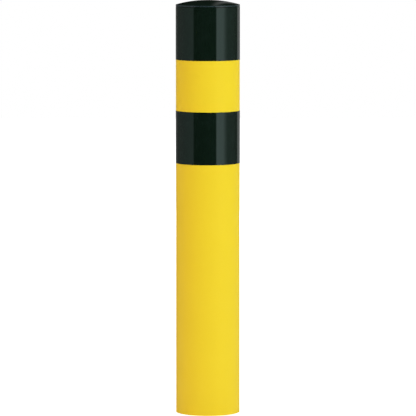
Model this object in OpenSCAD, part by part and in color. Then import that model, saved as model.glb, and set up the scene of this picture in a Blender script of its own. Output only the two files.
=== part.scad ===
// Steel safety bollard for setting in concrete: a standard steel tube with a dished cap welded on top, black
// film bands over its yellow coat, and two cross bars through the buried foot.
// Millimetres, +Z up. The origin is on the tube's axis at the finished ground line.

/* [Post] */
// Outside diameter of the tube
tube_d = 159; // [114:1:220]
// Wall thickness of the tube
tube_wall = 4.5; // [3.5:0.5:8]
// Height of the tube's rim above the ground line
reveal = 1018; // [600:1:1400]
// Depth of the tube's foot below the ground line
bury_depth = 482; // [400:1:800]

/* [Cap] */
// Thickness of the dished cap plate
cap_plate = 4; // [3:0.5:6]
// Radius of the cap's dish, measured on its outside
crown_r = 290; // [200:10:500]
// Radius of the cap's rounded outer edge
cap_knuckle = 0.8; // [0.5:0.1:4]
// Height of the cap's straight edge above its weld
cap_edge = 0.2; // [0.1:0.1:4]
// Height and width of the bevel under the cap's edge, which the cap weld fills
weld_bevel = 2.5; // [1:0.5:3]
// Height that the ground cap weld still stands proud of the tube
weld_crown = 0.4; // [0.1:0.1:1]

/* [Bands] */
// Height of each black band
band_height = 131; // [60:0.5:200]
// Depth of the top band's upper edge below the tube's rim
band_inset = 2.5; // [0:0.5:20]
// Height of the yellow ring between the two bands
band_gap = 127; // [40:0.5:180]
// Thickness of the band film
film = 0.3; // [0.2:0.1:1]
// Length of film that overlaps where a band's ends meet
film_overlap = 15; // [5:1:30]

/* [Anchors] */
// Diameter of each cross bar
bar_d = 16; // [10:1:22]
// Length of each cross bar
bar_length = 300; // [250:5:500]
// Depth of the upper cross bar below the ground line
upper_bar_depth = 300; // [150:5:300]
// Distance between the two cross bars, from centre to centre
bar_spacing = 80; // [50:5:80]
// Radial clearance of a cross bar in its holes
bar_clearance = 0.5; // [0.3:0.1:1.5]
// Chamfer on a cross bar's ends
bar_chamfer = 1; // [0.5:0.5:2]
// Leg of the fillet weld round a cross bar
weld_leg = 5; // [3:0.5:8]

/* [Hidden] */
$fn = 180;
crown_facets = 1440;
cut_past = 1;

tube_r = tube_d / 2;
bore_r = tube_r - tube_wall;
bar_r = bar_d / 2;
hole_r = bar_r + bar_clearance;
upper_bar_z = -upper_bar_depth;
lower_bar_z = upper_bar_z - bar_spacing;

// The knuckle's arc meets the cap's straight edge and the dish without a step; all three heights are above the rim
knuckle_x = tube_r - cap_knuckle;
knuckle_z = weld_bevel + cap_edge;
crown_centre = knuckle_z - sqrt(pow(crown_r - cap_knuckle, 2) - pow(knuckle_x, 2));
cap_height = crown_centre + crown_r;

// Radius of the arc that rises to the weld's crown over the bevel's depth
weld_face_r = weld_bevel * weld_bevel / (8 * weld_crown) + weld_crown / 2;

top_band_z = reveal - band_inset - band_height;
middle_band_z = top_band_z - band_gap - band_height;
lap_angle = film_overlap / tube_r * 180 / PI;

// Turns a shape made along +Z so that it lies along +X
module along_x() {
    rotate([0, 90, 0]) children();
}

// Section of the ring weld, which stands on the rim under the cap's bevel and has a crowned face
module weld_section() {
    polygon([[tube_r - weld_bevel, 0], [tube_r, 0], [tube_r, weld_bevel]]);
    intersection() {
        translate([tube_r + weld_crown - weld_face_r, weld_bevel / 2]) circle(r = weld_face_r);
        translate([tube_r, 0]) square([weld_crown + cut_past, weld_bevel]);
    }
}

// Section of the metal that the knuckle takes off the cap's outer corner
module knuckle_waste() {
    reach = 3 * cap_knuckle;
    lean = asin(knuckle_x / (crown_r - cap_knuckle));
    translate([knuckle_x, knuckle_z]) difference() {
        polygon([[0, 0], [reach, 0], [reach, reach], [reach * sin(lean), reach * cos(lean)]]);
        circle(r = cap_knuckle);
    }
}

// Half section of the cap, with its seat on the tube's rim at height 0
module cap_section() {
    difference() {
        intersection() {
            square([tube_r, cap_height + cut_past]);
            translate([0, crown_centre]) circle(r = crown_r, $fn = crown_facets);
        }
        knuckle_waste();
        weld_section();
        intersection() {
            translate([-cut_past, -cut_past]) square([tube_r - cap_plate + cut_past, cap_height + cut_past]);
            translate([0, crown_centre]) circle(r = crown_r - cap_plate, $fn = crown_facets);
        }
    }
}

// A film band that starts at height z, two layers thick where its ends lap at the back of the post
module band(z) {
    lap_r = tube_r + 2 * film;
    translate([0, 0, z]) difference() {
        cylinder(r = lap_r, h = band_height);
        translate([0, 0, -cut_past]) cylinder(r = tube_r, h = band_height + 2 * cut_past);
        rotate([0, 0, 90 + lap_angle / 2]) rotate_extrude(angle = 360 - lap_angle)
            translate([tube_r + film, -cut_past]) square([film + cut_past, band_height + 2 * cut_past]);
    }
}

// A round bar along X, centred on the tube's axis
module anchor_bar() {
    half = bar_length / 2;
    along_x() rotate_extrude() polygon([
        [0, -half], [bar_r - bar_chamfer, -half], [bar_r, bar_chamfer - half],
        [bar_r, half - bar_chamfer], [bar_r - bar_chamfer, half], [0, half]
    ]);
}

// The two holes that a cross bar along X passes through
module bar_holes() {
    along_x() cylinder(r = hole_r, h = tube_d + 2 * cut_past, center = true);
}

// The fillet where a bar along X leaves the tube on its +X side
module anchor_weld() {
    toe_r = bar_r + weld_leg;
    toe_x = sqrt(tube_r * tube_r - toe_r * toe_r) - cut_past;
    difference() {
        translate([toe_x, 0, 0]) along_x() cylinder(r1 = toe_r, r2 = bar_r, h = tube_r + weld_leg - toe_x);
        cylinder(r = tube_r, h = 4 * toe_r, center = true);
        along_x() cylinder(r = bar_r, h = bar_length);
    }
}

module post_tube() {
    color("gold") difference() {
        rotate_extrude() translate([bore_r, -bury_depth]) square([tube_wall, bury_depth + reveal]);
        translate([0, 0, upper_bar_z]) bar_holes();
        translate([0, 0, lower_bar_z]) rotate([0, 0, 90]) bar_holes();
    }
}

module dome_cap() {
    color([0.09, 0.12, 0.11]) translate([0, 0, reveal]) rotate_extrude() cap_section();
}

module cap_weld() {
    color([0.2, 0.25, 0.25]) translate([0, 0, reveal]) rotate_extrude() weld_section();
}

module top_band() {
    color([0.06, 0.09, 0.08]) band(top_band_z);
}

module middle_band() {
    color([0.06, 0.09, 0.08]) band(middle_band_z);
}

module upper_anchor_bar() {
    color("dimgray") translate([0, 0, upper_bar_z]) anchor_bar();
}

module lower_anchor_bar() {
    color("dimgray") translate([0, 0, lower_bar_z]) rotate([0, 0, 90]) anchor_bar();
}

module upper_anchor_weld_left() {
    color("slategray") translate([0, 0, upper_bar_z]) rotate([0, 0, 180]) anchor_weld();
}

module upper_anchor_weld_right() {
    color("slategray") translate([0, 0, upper_bar_z]) anchor_weld();
}

module lower_anchor_weld_front() {
    color("slategray") translate([0, 0, lower_bar_z]) rotate([0, 0, -90]) anchor_weld();
}

module lower_anchor_weld_back() {
    color("slategray") translate([0, 0, lower_bar_z]) rotate([0, 0, 90]) anchor_weld();
}

post_tube();
dome_cap();
cap_weld();
top_band();
middle_band();
upper_anchor_bar();
lower_anchor_bar();
upper_anchor_weld_left();
upper_anchor_weld_right();
lower_anchor_weld_front();
lower_anchor_weld_back();
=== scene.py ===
import math

import bmesh
import bpy
from mathutils import Matrix, Vector, noise


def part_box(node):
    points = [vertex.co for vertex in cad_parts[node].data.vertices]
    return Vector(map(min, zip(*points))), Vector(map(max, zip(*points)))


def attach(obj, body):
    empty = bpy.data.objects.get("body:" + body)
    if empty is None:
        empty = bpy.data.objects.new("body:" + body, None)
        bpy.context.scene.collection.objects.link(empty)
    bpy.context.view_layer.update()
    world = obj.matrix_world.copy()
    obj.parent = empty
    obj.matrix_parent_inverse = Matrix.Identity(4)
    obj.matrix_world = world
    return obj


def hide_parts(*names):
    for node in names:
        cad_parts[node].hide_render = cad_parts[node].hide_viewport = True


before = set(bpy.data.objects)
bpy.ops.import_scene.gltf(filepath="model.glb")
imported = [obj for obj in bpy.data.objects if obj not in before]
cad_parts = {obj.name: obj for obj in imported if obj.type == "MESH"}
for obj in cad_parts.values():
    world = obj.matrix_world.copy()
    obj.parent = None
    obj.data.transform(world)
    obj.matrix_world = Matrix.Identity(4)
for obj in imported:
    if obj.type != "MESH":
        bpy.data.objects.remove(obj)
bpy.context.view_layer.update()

# ---------------------------------------------------------------------------------------------------------
# Post tube. Welded steel tube with the fin of the mill's seam weld left in its bore and two pairs of cross
# holes drilled through the foot. It is dipped in zinc, then powder coated yellow down to 110 mm below the
# ground. The cap's black paint runs down over its rim to under the top band.
# ---------------------------------------------------------------------------------------------------------
tube_low, tube_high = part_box("post_tube")
upper_bar_low, upper_bar_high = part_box("upper_anchor_bar")
lower_bar_low, lower_bar_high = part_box("lower_anchor_bar")
tube_r = tube_high.x
rim_z = tube_high.z
foot_z = tube_low.z
wall = 0.0045
bore_r = tube_r - wall
bar_r = (upper_bar_high.z - upper_bar_low.z) / 2
upper_bar_z = (upper_bar_high.z + upper_bar_low.z) / 2
lower_bar_z = (lower_bar_high.z + lower_bar_low.z) / 2
bar_clearance = 0.0005
hole_r = bar_r + bar_clearance
hole_margin = 0.004
round_steps = 288
drill_steps = 72
sawn_edge = 0.0005
same_place = 1e-6
bore_slack = 1e-5

coat_end_z = -0.11
coat_edge = 0.0004
coat_wander = 0.0016
coat_step = 0.00012
coat_peel = 0.00005
skin_from = 0.0012
skin_full = 0.0006
black_end_z = rim_z - 0.006
black_edge = 0.0015
black_gloss = 0.36
spangles_per_metre = 105

YELLOW = (0.91, 0.575, 0.0125, 1)
YELLOW_THIN = (0.86, 0.52, 0.009, 1)
BLACK = (0.0030, 0.0074, 0.0042, 1)
ZINC_LIGHT = (0.53, 0.55, 0.56, 1)
ZINC_DARK = (0.38, 0.40, 0.42, 1)


def finished(name, bm, material, stands_for, sharp=40):
    """Makes a piece from a bmesh: doubles merged, faces outward, smooth up to an angle in degrees."""
    bmesh.ops.remove_doubles(bm, verts=bm.verts, dist=same_place)
    bmesh.ops.recalc_face_normals(bm, faces=bm.faces)
    mesh = bpy.data.meshes.new(name)
    bm.to_mesh(mesh)
    bm.free()
    mesh.shade_smooth()
    mesh.set_sharp_from_angle(angle=math.radians(sharp))
    mesh.materials.append(material)
    piece = bpy.data.objects.new(name, mesh)
    bpy.context.scene.collection.objects.link(piece)
    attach(piece, "root")
    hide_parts(*stands_for)
    return piece


def turned(outline, closed):
    """A bmesh turned about the post's axis from an outline of (radius, height) points."""
    bm = bmesh.new()
    verts = [bm.verts.new((r, 0, z)) for r, z in outline]
    edges = [bm.edges.new(pair) for pair in zip(verts, verts[1:])]
    if closed:
        edges.append(bm.edges.new((verts[-1], verts[0])))
    bmesh.ops.spin(bm, geom=verts + edges, axis=(0, 0, 1), cent=(0, 0, 0), angle=math.tau,
                   steps=round_steps, use_merge=True)
    return bm


class Finish:
    """A material and its node tree, with short calls for the nodes that these finishes are made from."""

    def __init__(self, name):
        self.material = bpy.data.materials.new(name)
        self.material.use_nodes = True
        self.nodes = self.material.node_tree.nodes
        self.links = self.material.node_tree.links
        self.shader = self.nodes["Principled BSDF"]
        self.place = self.nodes.new("ShaderNodeTexCoord").outputs["Object"]

    def feed(self, socket, value):
        if isinstance(value, bpy.types.NodeSocket):
            self.links.new(value, socket)
        else:
            socket.default_value = value

    def grain(self, per_metre, detail=2.0, rough=0.5, stretch=(1, 1, 1), distortion=0.0):
        """Noise from 0 to 1 with this many features a metre, stretched along an axis where asked."""
        mapping = self.nodes.new("ShaderNodeMapping")
        mapping.inputs["Scale"].default_value = stretch
        self.links.new(self.place, mapping.inputs["Vector"])
        texture = self.nodes.new("ShaderNodeTexNoise")
        texture.inputs["Scale"].default_value = per_metre
        texture.inputs["Detail"].default_value = detail
        texture.inputs["Roughness"].default_value = rough
        texture.inputs["Distortion"].default_value = distortion
        self.links.new(mapping.outputs["Vector"], texture.inputs["Vector"])
        return texture.outputs["Fac"]

    def math(self, operation, a, b):
        node = self.nodes.new("ShaderNodeMath")
        node.operation = operation
        self.feed(node.inputs[0], a)
        self.feed(node.inputs[1], b)
        return node.outputs[0]

    def add(self, a, b):
        return self.math("ADD", a, b)

    def less(self, a, b):
        return self.math("SUBTRACT", a, b)

    def times(self, a, b):
        return self.math("MULTIPLY", a, b)

    def spread(self, value, low, high, to_low=0.0, to_high=1.0):
        """Stretches the range from low to high on to another, with what lies past its ends cut off."""
        node = self.nodes.new("ShaderNodeMapRange")
        self.feed(node.inputs["Value"], value)
        node.inputs["From Min"].default_value = low
        node.inputs["From Max"].default_value = high
        node.inputs["To Min"].default_value = to_low
        node.inputs["To Max"].default_value = to_high
        return node.outputs["Result"]

    def blend(self, share, a, b):
        node = self.nodes.new("ShaderNodeMix")
        node.data_type = "RGBA"
        self.feed(node.inputs[0], share)
        self.feed(node.inputs[6], a)
        self.feed(node.inputs[7], b)
        return node.outputs[2]

    def relief(self, height, depth, under=None):
        """A bump of this depth in metres, laid over another one where it is given."""
        node = self.nodes.new("ShaderNodeBump")
        node.inputs["Strength"].default_value = 1.0
        node.inputs["Distance"].default_value = depth
        self.links.new(height, node.inputs["Height"])
        if under is not None:
            self.links.new(under, node.inputs["Normal"])
        return node.outputs["Normal"]

    def set(self, name, value):
        self.feed(self.shader.inputs[name], value)


def zinc_look(finish):
    """Colour, roughness and height of dull hot-dipped zinc: soft spangle, run marks and dross pimples."""
    cells = finish.nodes.new("ShaderNodeTexVoronoi")
    cells.inputs["Scale"].default_value = spangles_per_metre
    finish.links.new(finish.place, cells.inputs["Vector"])
    spangle = finish.nodes.new("ShaderNodeSeparateColor")
    finish.links.new(cells.outputs["Color"], spangle.inputs["Color"])
    runs = finish.grain(40, detail=4, stretch=(1, 1, 0.15))
    spangle_tone = finish.times(spangle.outputs[0], 0.25)
    run_tone = finish.times(runs, 0.75)
    tone = finish.add(spangle_tone, run_tone)
    colour = finish.blend(tone, ZINC_DARK, ZINC_LIGHT)
    rough = finish.spread(tone, 0.2, 0.8, 0.55, 0.36)
    dross = finish.spread(finish.grain(420, detail=1), 0.68, 0.80)
    height = finish.add(finish.times(runs, 0.6), dross)
    return colour, rough, height


def yellow_coat():
    """Satin powder coat over zinc, masked off below the ground, with the cap's black paint at the rim."""
    finish = Finish("yellow_powder_coat")
    axis = finish.nodes.new("ShaderNodeSeparateXYZ")
    finish.links.new(finish.place, axis.inputs["Vector"])
    right, back, up = axis.outputs
    radius_squared = finish.add(finish.times(right, right), finish.times(back, back))
    radius = finish.math("POWER", radius_squared, 0.5)
    outside = finish.spread(radius, tube_r - skin_from, tube_r - skin_full)
    wander = finish.spread(finish.grain(60, detail=3), 0.3, 0.7, -coat_wander, coat_wander)
    wandering_up = finish.add(up, wander)
    above_mask = finish.spread(wandering_up, coat_end_z - coat_edge, coat_end_z + coat_edge)
    coated = finish.times(above_mask, outside)

    cloud = finish.spread(finish.grain(9, detail=3), 0.35, 0.65)
    mottle = finish.spread(finish.grain(260, detail=2), 0.3, 0.7)
    thinness = finish.add(finish.times(cloud, 0.12), finish.times(mottle, 0.05))
    paint = finish.blend(thinness, YELLOW, YELLOW_THIN)
    blacked = finish.spread(up, black_end_z - black_edge, black_end_z + black_edge)
    paint = finish.blend(blacked, paint, BLACK)

    nib = finish.spread(finish.grain(150, detail=0), 0.80, 0.86)
    scuffs = finish.spread(finish.grain(60, detail=6, stretch=(1, 1, 9), distortion=0.4), 0.68, 0.76)
    satin = finish.spread(finish.grain(35, detail=4), 0.3, 0.7, 0.44, 0.54)
    paint_rough = finish.add(satin, finish.times(nib, -0.1))
    paint_rough = finish.add(paint_rough, finish.times(scuffs, 0.08))
    paint_rough = finish.less(paint_rough, finish.times(blacked, black_gloss))

    zinc, zinc_rough, zinc_height = zinc_look(finish)
    finish.set("Base Color", finish.blend(coated, zinc, paint))
    finish.set("Metallic", finish.less(1.0, coated))
    rough = finish.nodes.new("ShaderNodeMix")
    finish.feed(rough.inputs[0], coated)
    finish.feed(rough.inputs[2], zinc_rough)
    finish.feed(rough.inputs[3], paint_rough)
    finish.set("Roughness", rough.outputs[0])

    peel = finish.add(finish.grain(420, detail=1), finish.times(finish.grain(120, detail=1), 0.8))
    peel = finish.times(finish.add(peel, finish.times(nib, 1.5)), coated)
    bare_height = finish.times(zinc_height, finish.less(1.0, coated))
    step = finish.relief(coated, coat_step)
    finish.set("Normal", finish.relief(finish.add(peel, bare_height), coat_peel, under=step))
    finish.set("Specular IOR Level", 0.26)
    return finish.material


# rings above and below each pair of holes, so that the drilling leaves the long sides plain
hole_reach = hole_r + hole_margin
hole_rings = sorted([upper_bar_z - hole_reach, upper_bar_z + hole_reach, lower_bar_z - hole_reach,
                     lower_bar_z + hole_reach])
outer_side = [(tube_r, z) for z in [foot_z + sawn_edge, *hole_rings, coat_end_z, 0.0, black_end_z, rim_z]]
inner_side = [(bore_r, z) for z in [rim_z, *reversed(hole_rings), foot_z + sawn_edge]]
tube_outline = [*outer_side, *inner_side, (bore_r + sawn_edge, foot_z), (tube_r - sawn_edge, foot_z)]
bm = turned(tube_outline, closed=True)

# the mill seam's inner fin stands proud of the bore, on the left towards the back
fin_angle = math.radians(145)
fin_half_width = 0.0035
fin_height = 0.0009
for v in bm.verts:
    radius = math.hypot(v.co.x, v.co.y)
    off_line = abs(math.remainder(math.atan2(v.co.y, v.co.x) - fin_angle, math.tau)) * bore_r
    if radius < bore_r + bore_slack and off_line < fin_half_width:
        lift = fin_height * math.cos(off_line / fin_half_width * math.pi / 2)
        v.co.x *= (radius - lift) / radius
        v.co.y *= (radius - lift) / radius
post = finished("post_tube_steel", bm, yellow_coat(), ["post_tube"])

# the cross holes are drilled right through both walls, left to right above and front to back below
drill = bmesh.new()
for z, over in ((upper_bar_z, "Y"), (lower_bar_z, "X")):
    bmesh.ops.create_cone(drill, cap_ends=True, segments=drill_steps, radius1=hole_r, radius2=hole_r,
                          depth=4 * tube_r,
                          matrix=Matrix.Translation((0, 0, z)) @ Matrix.Rotation(math.pi / 2, 4, over))
drill_mesh = bpy.data.meshes.new("drill")
drill.to_mesh(drill_mesh)
drill.free()
drill_bit = bpy.data.objects.new("drill", drill_mesh)
bpy.context.scene.collection.objects.link(drill_bit)
holes = post.modifiers.new("cross_holes", "BOOLEAN")
holes.operation = "DIFFERENCE"
holes.solver = "EXACT"
holes.object = drill_bit
bpy.context.view_layer.update()
drilled = bpy.data.meshes.new_from_object(post.evaluated_get(bpy.context.evaluated_depsgraph_get()))
drilled.name = "post_tube_steel"
post.modifiers.remove(holes)
post.data = drilled
bpy.data.objects.remove(drill_bit)

# ---------------------------------------------------------------------------------------------------------
# Dome cap. A disc of 4 mm plate pressed to a shallow dish and set on the tube's rim. Its outer corner is
# rounded above and bevelled below for the weld. Sprayed gloss black before the bands are laid.
# ---------------------------------------------------------------------------------------------------------
cap_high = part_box("dome_cap")[1]
weld_low, weld_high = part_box("cap_weld")
cap_bevel = weld_high.z - weld_low.z
plate = 0.004
crown_r = 0.290
knuckle_r = 0.0008
knuckle_x = tube_r - knuckle_r
crown_centre = cap_high.z - crown_r
knuckle_z = crown_centre + math.sqrt((crown_r - knuckle_r) ** 2 - knuckle_x ** 2)
crown_steps = 22
knuckle_steps = 12

BLACK_DUSTY = (0.0050, 0.0100, 0.0070, 1)
BLACK_SHEEN = (0.74, 1.0, 0.96, 1)


def arc(centre_r, centre_z, radius, start, end, steps):
    """Points (radius, height) along an arc; the angles are in radians above the horizontal."""
    turns = [start + (end - start) * i / steps for i in range(steps + 1)]
    return [(centre_r + radius * math.cos(t), centre_z + radius * math.sin(t)) for t in turns]


def gloss_black(name, rough_low, rough_high, peel_depth):
    """Gloss black: near-mirror with faint flow marks, hair scratches and a little settled dust."""
    finish = Finish(name)
    dust = finish.spread(finish.grain(55, detail=5, rough=0.6), 0.45, 0.8)
    finish.set("Base Color", finish.blend(dust, BLACK, BLACK_DUSTY))
    hairs = finish.spread(finish.grain(90, detail=6, stretch=(1, 1, 14), distortion=0.4), 0.66, 0.74)
    rough = finish.spread(finish.grain(30, detail=3), 0.3, 0.7, rough_low, rough_high)
    finish.set("Roughness", finish.add(rough, finish.times(hairs, 0.05)))
    peel = finish.add(finish.grain(300, detail=1), finish.times(finish.grain(70, detail=1), 1.2))
    nib = finish.spread(finish.grain(170, detail=0), 0.82, 0.86)
    finish.set("Normal", finish.relief(finish.add(peel, finish.times(nib, 2.0)), peel_depth))
    finish.set("Specular Tint", BLACK_SHEEN)
    return finish.material


crown_edge = math.acos(knuckle_x / (crown_r - knuckle_r))
crown = arc(0, crown_centre, crown_r, math.pi / 2, crown_edge, crown_steps)
knuckle = arc(knuckle_x, knuckle_z, knuckle_r, crown_edge, 0, knuckle_steps)
under_r = crown_r - plate
under_edge = math.acos((tube_r - plate) / under_r)
under = arc(0, crown_centre, under_r, under_edge, math.pi / 2, crown_steps)
seat = [(tube_r, rim_z + cap_bevel), (tube_r - cap_bevel, rim_z), (tube_r - plate, rim_z)]
cap_outline = [(0, crown[0][1]), *crown[1:], *knuckle[1:], *seat, *under[:-1], (0, under[-1][1])]
cap_paint = gloss_black("black_cap_paint", rough_low=0.08, rough_high=0.13, peel_depth=0.000008)
finished("dome_cap_pressing", turned(cap_outline, closed=False), cap_paint, ["dome_cap"],
         sharp=50)

# ---------------------------------------------------------------------------------------------------------
# Cap weld. One run of weld on the rim fills the bevel under the cap's edge. It is ground back to a low,
# crowned ring that stands up to 0.4 mm proud, more in some places than in others, and painted with the cap.
# Its paint is drawn lighter and bluer than the cap's black, a painted highlight along the rim.
# ---------------------------------------------------------------------------------------------------------
# both weld colours are lighter and bluer than the cap's black: rubbed-thin paint plus a painted highlight
# line
WORN_BLACK_PAINTED_LIGHT = (0.007, 0.013, 0.016, 1)
BARE_ZINC_PAINTED_HIGHLIGHT = (0.033, 0.050, 0.060, 1)
weld_crown = weld_high.x - tube_r
weld_steps = 12
grinding_marks = 38
ground_mean = 0.75
ground_swing = 0.25

# the face's points lie on a parabola, whose middle is the crown
weld_face = []
for i in range(weld_steps + 1):
    up_face = i / weld_steps
    weld_face.append((tube_r + weld_crown * 4 * up_face * (1 - up_face), weld_low.z + cap_bevel * up_face))
bm = turned([*weld_face, (tube_r - cap_bevel, weld_low.z)], closed=True)
for v in bm.verts:
    radius = math.hypot(v.co.x, v.co.y)
    if radius > tube_r + same_place:
        spot = Vector((v.co.x, v.co.y, v.co.z * 2)) * grinding_marks
        ground = ground_mean + ground_swing * noise.noise(spot)
        scale = (tube_r + (radius - tube_r) * ground) / radius
        v.co.x *= scale
        v.co.y *= scale


def weld_paint_painted_highlight():
    """Rubbed-thin black over the weld with sanding marks, drawn bluish grey as a painted highlight."""
    finish = Finish("black_weld_paint_painted_highlight")
    marks = finish.grain(220, detail=4, stretch=(1, 1, 3))
    # the sanding marks blend the black towards the bluish grey of the painted highlight
    finish.set("Base Color", finish.blend(finish.spread(marks, 0.35, 0.75), WORN_BLACK_PAINTED_LIGHT, BARE_ZINC_PAINTED_HIGHLIGHT))
    finish.set("Roughness", finish.spread(marks, 0.3, 0.7, 0.22, 0.38))
    finish.set("Normal", finish.relief(marks, 0.00006))
    return finish.material


finished("cap_weld_ground", bm, weld_paint_painted_highlight(), ["cap_weld"])

# ---------------------------------------------------------------------------------------------------------
# Bands. Gloss black self-adhesive film, 0.3 mm thick, wound once round the post from the back and lapped
# 15 mm over its own start. The cut edges wander slightly and the lap stands up over the layer below.
# ---------------------------------------------------------------------------------------------------------
film = 0.0003
lap = 0.015
lap_ramp = 0.003
edge_wander = 0.00012
wander_per_metre = 60
edge_share = 0.499
strip_steps = 360
height_steps = 14


def film_band(name, node):
    """A strip as a flat slab of film, wound on to the tube."""
    low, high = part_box(node)
    length = math.tau * tube_r + lap
    height = high.z - low.z
    bm = bmesh.new()
    bmesh.ops.create_grid(bm, x_segments=strip_steps, y_segments=height_steps, size=0.5)
    bmesh.ops.scale(bm, vec=(length, height, 1), verts=bm.verts)
    raised = bmesh.ops.extrude_face_region(bm, geom=list(bm.faces))["geom"]
    face_side = [g for g in raised if isinstance(g, bmesh.types.BMVert)]
    bmesh.ops.translate(bm, vec=(0, 0, film), verts=face_side)
    for v in bm.verts:
        along = v.co.x + length / 2
        climb = min(max((along - (math.tau * tube_r - lap_ramp)) / lap_ramp, 0), 1)
        radius = tube_r + v.co.z + film * climb * climb * (3 - 2 * climb)
        angle = math.pi / 2 - lap / tube_r / 2 + along / tube_r
        cut = 0
        if abs(v.co.y) > height * edge_share:
            cut = edge_wander * abs(noise.noise(Vector((along * wander_per_metre, low.z, 0))) - 0.5)
        z = (low.z + high.z) / 2 + v.co.y - math.copysign(cut, v.co.y)
        v.co = (radius * math.cos(angle), radius * math.sin(angle), z)
    return finished(name, bm, film_black, [node])


film_black = gloss_black("black_band_film", rough_low=0.06, rough_high=0.10, peel_depth=0.000006)
film_band("top_band_film", "top_band")
film_band("middle_band_film", "middle_band")

# ---------------------------------------------------------------------------------------------------------
# Anchor bars. Two lengths of ribbed reinforcing bar, cropped to 300 mm, pushed through the cross holes. The
# ribs are hot-rolled: two straight ones and slanting crescents between them. Dipped in zinc with the post.
# ---------------------------------------------------------------------------------------------------------
core_r = 0.0075
rib_height = 0.00085
rib_pitch = 0.0096
rib_half_width = 0.0011
rib_slant = 0.0052
crescent_span = 0.92
spine_half_width = 0.0009
crop_chamfer = 0.0012
bar_steps = 620
bar_round = 72
bar_length = upper_bar_high.x - upper_bar_low.x


def zinc_finish(name, depth):
    """Bare hot-dipped zinc, as it comes out of the bath."""
    finish = Finish(name)
    colour, rough, height = zinc_look(finish)
    finish.set("Base Color", colour)
    finish.set("Roughness", rough)
    finish.set("Metallic", 1.0)
    finish.set("Normal", finish.relief(height, depth))
    return finish.material


def hump(distance, half_width):
    """A smooth bump of height 1 that ends at half_width."""
    return math.cos(min(abs(distance) / half_width, 1) * math.pi / 2) ** 1.5


def ribbed_bar(name, node, turn, z):
    """A flat sheet with the ribs rolled up into a bar along X, then turned to its place."""
    bm = bmesh.new()
    bmesh.ops.create_grid(bm, x_segments=bar_steps, y_segments=bar_round, size=0.5)
    for v in bm.verts:
        along = v.co.x * bar_length
        angle = (v.co.y + 0.5) * math.tau
        side = math.remainder(angle, math.pi) / (math.pi / 2)
        across = abs(side) - 1 if abs(side) > 0.5 else side
        spine = hump(across * math.pi / 2 * core_r, spine_half_width)
        swing = math.remainder(angle - math.pi / 2, math.pi) / (math.pi / 2)
        row = 1 if math.sin(angle) > 0 else -1
        offset = math.remainder(along + row * swing * rib_slant + (row + 1) * rib_pitch / 4, rib_pitch)
        crescent = hump(offset, rib_half_width) * math.sqrt(max(0, 1 - (swing / crescent_span) ** 2))
        radius = core_r + rib_height * max(spine if abs(side) < 0.5 else 0, crescent)
        radius -= max(0, crop_chamfer - (bar_length / 2 - abs(along)))
        v.co = (along, radius * math.cos(angle), radius * math.sin(angle))
    bmesh.ops.remove_doubles(bm, verts=bm.verts, dist=same_place)
    bmesh.ops.holes_fill(bm, edges=[e for e in bm.edges if e.is_boundary], sides=0)
    bmesh.ops.transform(bm, matrix=Matrix.Translation((0, 0, z)) @ turn, verts=bm.verts)
    return finished(name, bm, bar_zinc, [node])


bar_zinc = zinc_finish("bar_zinc", depth=0.00012)
ALONG_X = Matrix.Identity(4)
ALONG_Y = Matrix.Rotation(math.pi / 2, 4, "Z")
ribbed_bar("upper_anchor_rebar", "upper_anchor_bar", ALONG_X, upper_bar_z)
ribbed_bar("lower_anchor_rebar", "lower_anchor_bar", ALONG_Y, lower_bar_z)

# ---------------------------------------------------------------------------------------------------------
# Anchor welds. A 5 mm fillet runs once round each bar where it leaves the tube, following the tube's curve,
# with the ripples of a hand-held torch and a slightly heavier start and stop. Dipped in zinc with the post.
# ---------------------------------------------------------------------------------------------------------
leg = 0.005
weld_round = 220
face_steps = 12
ripples = 26
ripple_lean = 0.22
ripple_depth = 0.00035
bulge = 0.0006
toe_r = core_r - 0.0001
root_r = core_r - 0.0004
sunk_in_tube = 0.0001
lump_share = 0.10
lumps_round = 1.5
ripple_sharpness = 0.6
swell_each_way = 0.7
stop_at = 0.3
stop_width = 0.03
stop_height = 0.35
stop_leg = 0.4


def fillet(name, node, turn, z, seed):
    """A bead round a bar along +X: a ring whose section is a rounded triangle between bar and tube."""
    section_steps = face_steps + 2
    bm = bmesh.new()
    bmesh.ops.create_grid(bm, x_segments=weld_round, y_segments=section_steps, size=0.5)
    for v in bm.verts:
        round_bar = v.co.x + 0.5
        angle = round_bar * math.tau
        step = round((v.co.y + 0.5) * section_steps)
        share = step / face_steps if step <= face_steps else 0
        lump = noise.noise(Vector((math.cos(angle) * lumps_round, math.sin(angle) * lumps_round, seed)))
        stop = stop_height * math.exp(-((math.remainder(round_bar - stop_at, 1)) / stop_width) ** 2)
        reach = leg * (1 + lump_share * lump + stop * stop_leg)
        lean = ripple_lean * (2 * share - 1) ** 2
        ripple = abs(math.sin((round_bar * ripples + lean) * math.pi)) ** ripple_sharpness
        swell = (bulge * (1 + stop) + ripple_depth * ripple) * math.sin(math.pi * share)
        out = reach * (1 - share) + swell * swell_each_way
        spread_r = toe_r + (bar_r + reach - toe_r) * share + swell * swell_each_way
        if step == face_steps + 1:
            out = 0
            spread_r = root_r
        y = spread_r * math.cos(angle)
        v.co = (math.sqrt(tube_r ** 2 - y ** 2) + out - sunk_in_tube, y, spread_r * math.sin(angle))
    bmesh.ops.transform(bm, matrix=Matrix.Translation((0, 0, z)) @ turn, verts=bm.verts)
    return finished(name, bm, weld_zinc, [node], sharp=60)


weld_zinc = zinc_finish("weld_zinc", depth=0.00008)
seed_step = 7.3
for name, node, quarter, z in (
    ("upper_weld_right", "upper_anchor_weld_right", 0, upper_bar_z),
    ("upper_weld_left", "upper_anchor_weld_left", 2, upper_bar_z),
    ("lower_weld_back", "lower_anchor_weld_back", 1, lower_bar_z),
    ("lower_weld_front", "lower_anchor_weld_front", 3, lower_bar_z),
):
    fillet(name, node, Matrix.Rotation(quarter * math.pi / 2, 4, "Z"), z, quarter * seed_step)

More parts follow.
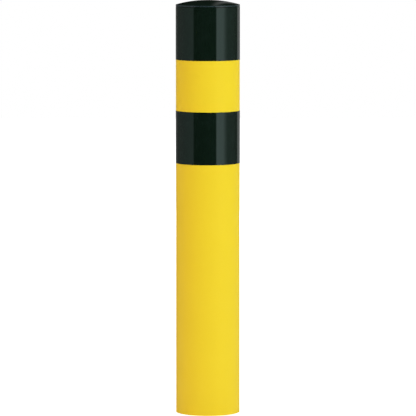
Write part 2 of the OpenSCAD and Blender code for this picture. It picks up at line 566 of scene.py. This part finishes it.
# ---------------------------------------------------------------------------------------------------------
# Stage. A plain white floor at the ground line, which hides the buried foot from above. It is lit through
# like a light table, more so away from the post, so that it is as white there as it is under the lights.
# ---------------------------------------------------------------------------------------------------------
floor_half = 10.0
glow_from = 1.5
glow_full = 6.0
glow_near = 0.53
glow_far = 0.95
bm = bmesh.new()
bmesh.ops.create_grid(bm, x_segments=1, y_segments=1, size=floor_half)
floor_mesh = bpy.data.meshes.new("floor")
bm.to_mesh(floor_mesh)
bm.free()
floor_finish = Finish("floor_white")
from_post = floor_finish.nodes.new("ShaderNodeVectorMath")
from_post.operation = "LENGTH"
floor_finish.links.new(floor_finish.place, from_post.inputs[0])
floor_finish.set("Base Color", (0.88, 0.88, 0.88, 1))
floor_finish.set("Roughness", 0.9)
floor_finish.set("Specular IOR Level", 0.0)
floor_finish.set("Emission Color", (1, 1, 1, 1))
glow = floor_finish.spread(from_post.outputs["Value"], glow_from, glow_full, glow_near, glow_far)
floor_finish.set("Emission Strength", glow)
floor_mesh.materials.append(floor_finish.material)
floor = bpy.data.objects.new("floor", floor_mesh)
bpy.context.scene.collection.objects.link(floor)
floor.visible_glossy = False

# The surround that gloss mirrors, as stops of (degrees round from the front towards the right, brightness).
# The front is dark, with a tall soft panel at the front right, a dimmer one at the left and thin ones behind.
surround = [
    (-180, 0.006), (-168, 0.01), (-158, 0.20), (-146, 0.17), (-140, 0.08), (-108, 0.22),
    (-64, 0.37), (-54, 0.37), (-51, 0.018),
    (29.5, 0.018), (32.5, 1.28), (57, 1.18), (67, 0.58), (76, 0.27), (100, 0.20), (130, 0.04),
    (136, 0.50), (150, 0.45), (156, 0.12), (168, 0.01),
    (176.3, 0.006), (176.7, 0.22), (178.0, 0.22), (178.4, 0.006),
]
overhead_from = math.radians(52)
overhead_full = math.radians(64)
OVERHEAD = (0.22, 0.34, 0.40, 1)
UNLIT = (0.0, 0.0, 0.0, 1)
WHITE = (1, 1, 1, 1)

world = bpy.data.worlds.new("studio")
world.use_nodes = True
bpy.context.scene.world = world
nodes = world.node_tree.nodes
links = world.node_tree.links
nodes.clear()


def world_math(operation, a, b):
    node = nodes.new("ShaderNodeMath")
    node.operation = operation
    for socket, value in zip(node.inputs, (a, b)):
        if isinstance(value, bpy.types.NodeSocket):
            links.new(value, socket)
        else:
            socket.default_value = value
    return node.outputs[0]


direction = nodes.new("ShaderNodeSeparateXYZ")
links.new(nodes.new("ShaderNodeTexCoord").outputs["Generated"], direction.inputs["Vector"])
to_front = world_math("MULTIPLY", direction.outputs["Y"], -1.0)
turn_round = world_math("ARCTAN2", direction.outputs["X"], to_front)
share_round = world_math("ADD", world_math("DIVIDE", turn_round, math.tau), 0.5)
ramp = nodes.new("ShaderNodeValToRGB")
links.new(share_round, ramp.inputs["Fac"])
stops = ramp.color_ramp.elements
while len(stops) > 1:
    stops.remove(stops[-1])
stops[0].position = 0.0
stops[0].color = (surround[0][1],) * 3 + (1,)
for degrees, bright in surround[1:]:
    stop = stops.new(degrees / 360 + 0.5)
    stop.color = (bright, bright, bright, 1)
overhead = nodes.new("ShaderNodeMapRange")
overhead.interpolation_type = "SMOOTHSTEP"
overhead.inputs["From Min"].default_value = math.sin(overhead_from)
overhead.inputs["From Max"].default_value = math.sin(overhead_full)
links.new(direction.outputs["Z"], overhead.inputs["Value"])
sky = nodes.new("ShaderNodeMix")
sky.data_type = "RGBA"
links.new(overhead.outputs["Result"], sky.inputs[0])
links.new(ramp.outputs["Color"], sky.inputs[6])
sky.inputs[7].default_value = OVERHEAD

# body colours see a black surround, so that only the floor and the soft boxes light them, and the camera
# sees plain white
ray = nodes.new("ShaderNodeLightPath")
soft = nodes.new("ShaderNodeMix")
soft.data_type = "RGBA"
links.new(ray.outputs["Is Diffuse Ray"], soft.inputs[0])
links.new(sky.outputs[2], soft.inputs[6])
soft.inputs[7].default_value = UNLIT
white = nodes.new("ShaderNodeMix")
white.data_type = "RGBA"
links.new(ray.outputs["Is Camera Ray"], white.inputs[0])
links.new(soft.outputs[2], white.inputs[6])
white.inputs[7].default_value = WHITE
background = nodes.new("ShaderNodeBackground")
links.new(white.outputs[2], background.inputs["Color"])
output = nodes.new("ShaderNodeOutputWorld")
links.new(background.outputs["Background"], output.inputs["Surface"])


# Soft boxes: a wide one overhead that whitens the floor, the key at the front right and a fill at the back.
# They light body colours only, because what gloss mirrors comes from the surround.
def soft_box(name, place, aim, width, height, power, colour):
    light = bpy.data.lights.new(name, "AREA")
    light.shape = "RECTANGLE"
    light.size = width
    light.size_y = height
    light.energy = power
    light.color = colour
    box = bpy.data.objects.new(name, light)
    box.location = place
    box.rotation_mode = "QUATERNION"
    box.rotation_quaternion = (Vector(aim) - Vector(place)).to_track_quat("-Z", "Y")
    box.visible_camera = False
    box.visible_glossy = False
    bpy.context.scene.collection.objects.link(box)


key_azimuth = math.radians(45)
key_far = 5.0
key_side = key_far * math.sin(key_azimuth)
key_front = -key_far * math.cos(key_azimuth)
soft_box("overhead", place=(0, 0, 6.0), aim=(0, 0, 0), width=12, height=12, power=730, colour=(1.0, 1.0, 1.0))
soft_box("key", place=(key_side, key_front, 1.6), aim=(0, 0, 0.55), width=2.2, height=2.2, power=81,
         colour=(0.45, 1.0, 1.0))
soft_box("back_fill", place=(0, key_far, 1.2), aim=(0, 0, 0.5), width=2.2, height=2.2, power=45,
         colour=(0.8, 1.0, 1.0))

# ---------------------------------------------------------------------------------------------------------
# Camera. A long lens, 0.4 m above the cap's rim and tipped down, so that the post fills the picture's height.
# ---------------------------------------------------------------------------------------------------------
camera_far = 9.222
camera_height = 1.416
camera_tip = math.radians(5.593)
camera_side = 0.0005
camera_lens = 321.0
camera = bpy.data.cameras.new("camera")
camera.sensor_width = 36
camera.lens = camera_lens
camera.clip_end = 100
camera_stand = bpy.data.objects.new("camera", camera)
camera_stand.location = (camera_side, -camera_far, camera_height)
camera_stand.rotation_euler = (math.pi / 2 - camera_tip, 0, 0)
bpy.context.scene.collection.objects.link(camera_stand)
bpy.context.scene.camera = camera_stand
bpy.context.scene.view_settings.view_transform = "Standard"
